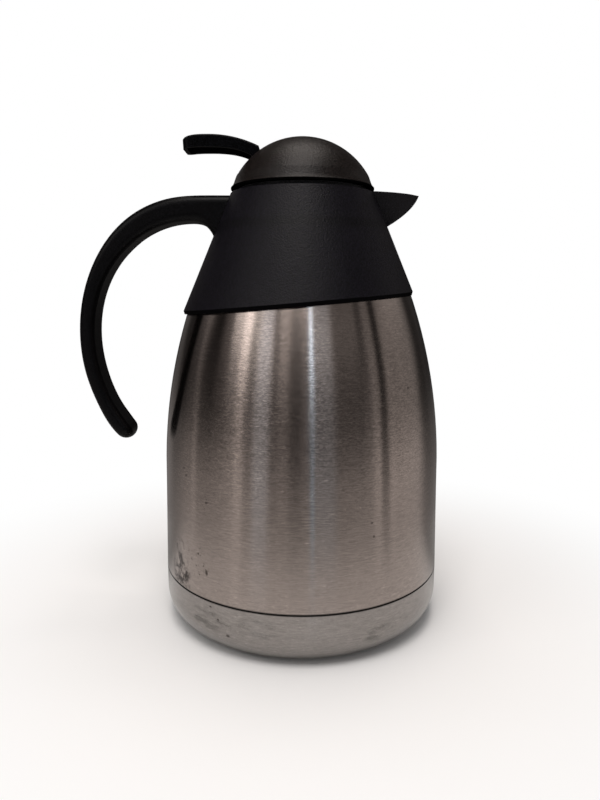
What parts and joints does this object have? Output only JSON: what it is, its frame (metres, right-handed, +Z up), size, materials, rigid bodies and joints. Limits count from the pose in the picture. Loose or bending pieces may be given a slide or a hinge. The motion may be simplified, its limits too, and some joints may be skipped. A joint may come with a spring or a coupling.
{
  "type": "thermal carafe",
  "caption": "Double-walled steel vacuum jug with slanted black collar, beak spout, open hooked handle and a domed stopper opened by a thumb lever",
  "frame": {"origin": "centre of the base, on the surface the jug stands on", "axes": "+Z up along the jug's axis, +X towards the spout, -X towards the handle, +Y to the left as seen looking along +X"},
  "size_m": [0.1719, 0.1334, 0.2262],
  "materials": {
    "brushed_steel": "brushed round the body, fine scratches",
    "plain_steel": "bright drawn and turned",
    "black_plastic": "satin, finely textured",
    "inner_plastic": "smooth moulded",
    "seal_rubber": "soft translucent silicone",
    "sealing_metal": "dull fused metal"
  },
  "bodies": {
    "carafe": {"outer_shell": "brushed_steel", "inner_flask": "brushed_steel", "vacuum_base": "brushed_steel", "vacuum_seal": "sealing_metal", "getter": "sealing_metal", "base_cap": "brushed_steel", "collar": "black_plastic", "neck_ring": "inner_plastic", "neck_gasket": "seal_rubber", "handle_shell": "black_plastic", "handle_inner_cover": "black_plastic", "handle_screws": "plain_steel"},
    "stopper_slide": {"stopper_gasket": "seal_rubber"},
    "lid": {"stopper_body": "inner_plastic", "stopper_base": "inner_plastic", "dome_cap": "black_plastic", "lever_pin": "plain_steel", "return_spring": "plain_steel"},
    "lever": {"thumb_lever": "black_plastic"},
    "valve": {"valve_stem": "plain_steel", "valve_button": "inner_plastic", "valve_disc": "inner_plastic", "valve_gasket": "seal_rubber", "disc_nut": "plain_steel"}
  },
  "joints": [
    {"name": "lid_lift", "type": "slide", "parent": "carafe", "child": "stopper_slide", "axis": [0, 0, 1], "range_m": [0, 0.08]},
    {"name": "lid_turn", "type": "hinge", "parent": "stopper_slide", "child": "lid", "pos_m": [0, 0, 0.2], "axis": [0, 0, 1], "range_deg": [0, 90]},
    {"name": "lever_press", "type": "hinge", "parent": "lid", "child": "lever", "pos_m": [0.017, 0, 0.2115], "axis": [0, -1, 0], "range_deg": [0, 8], "stiffness_Nm_per_rad": 0.35, "springref_deg": -34.38},
    {"name": "valve_open", "type": "slide", "parent": "lid", "child": "valve", "axis": [0, 0, -1], "range_m": [0, 0.0024], "deforming": ["return_spring"]}
  ],
  "couplings": [
    {"joint": "valve_open", "follows": "lever_press", "m_per_rad": 0.017}
  ]
}
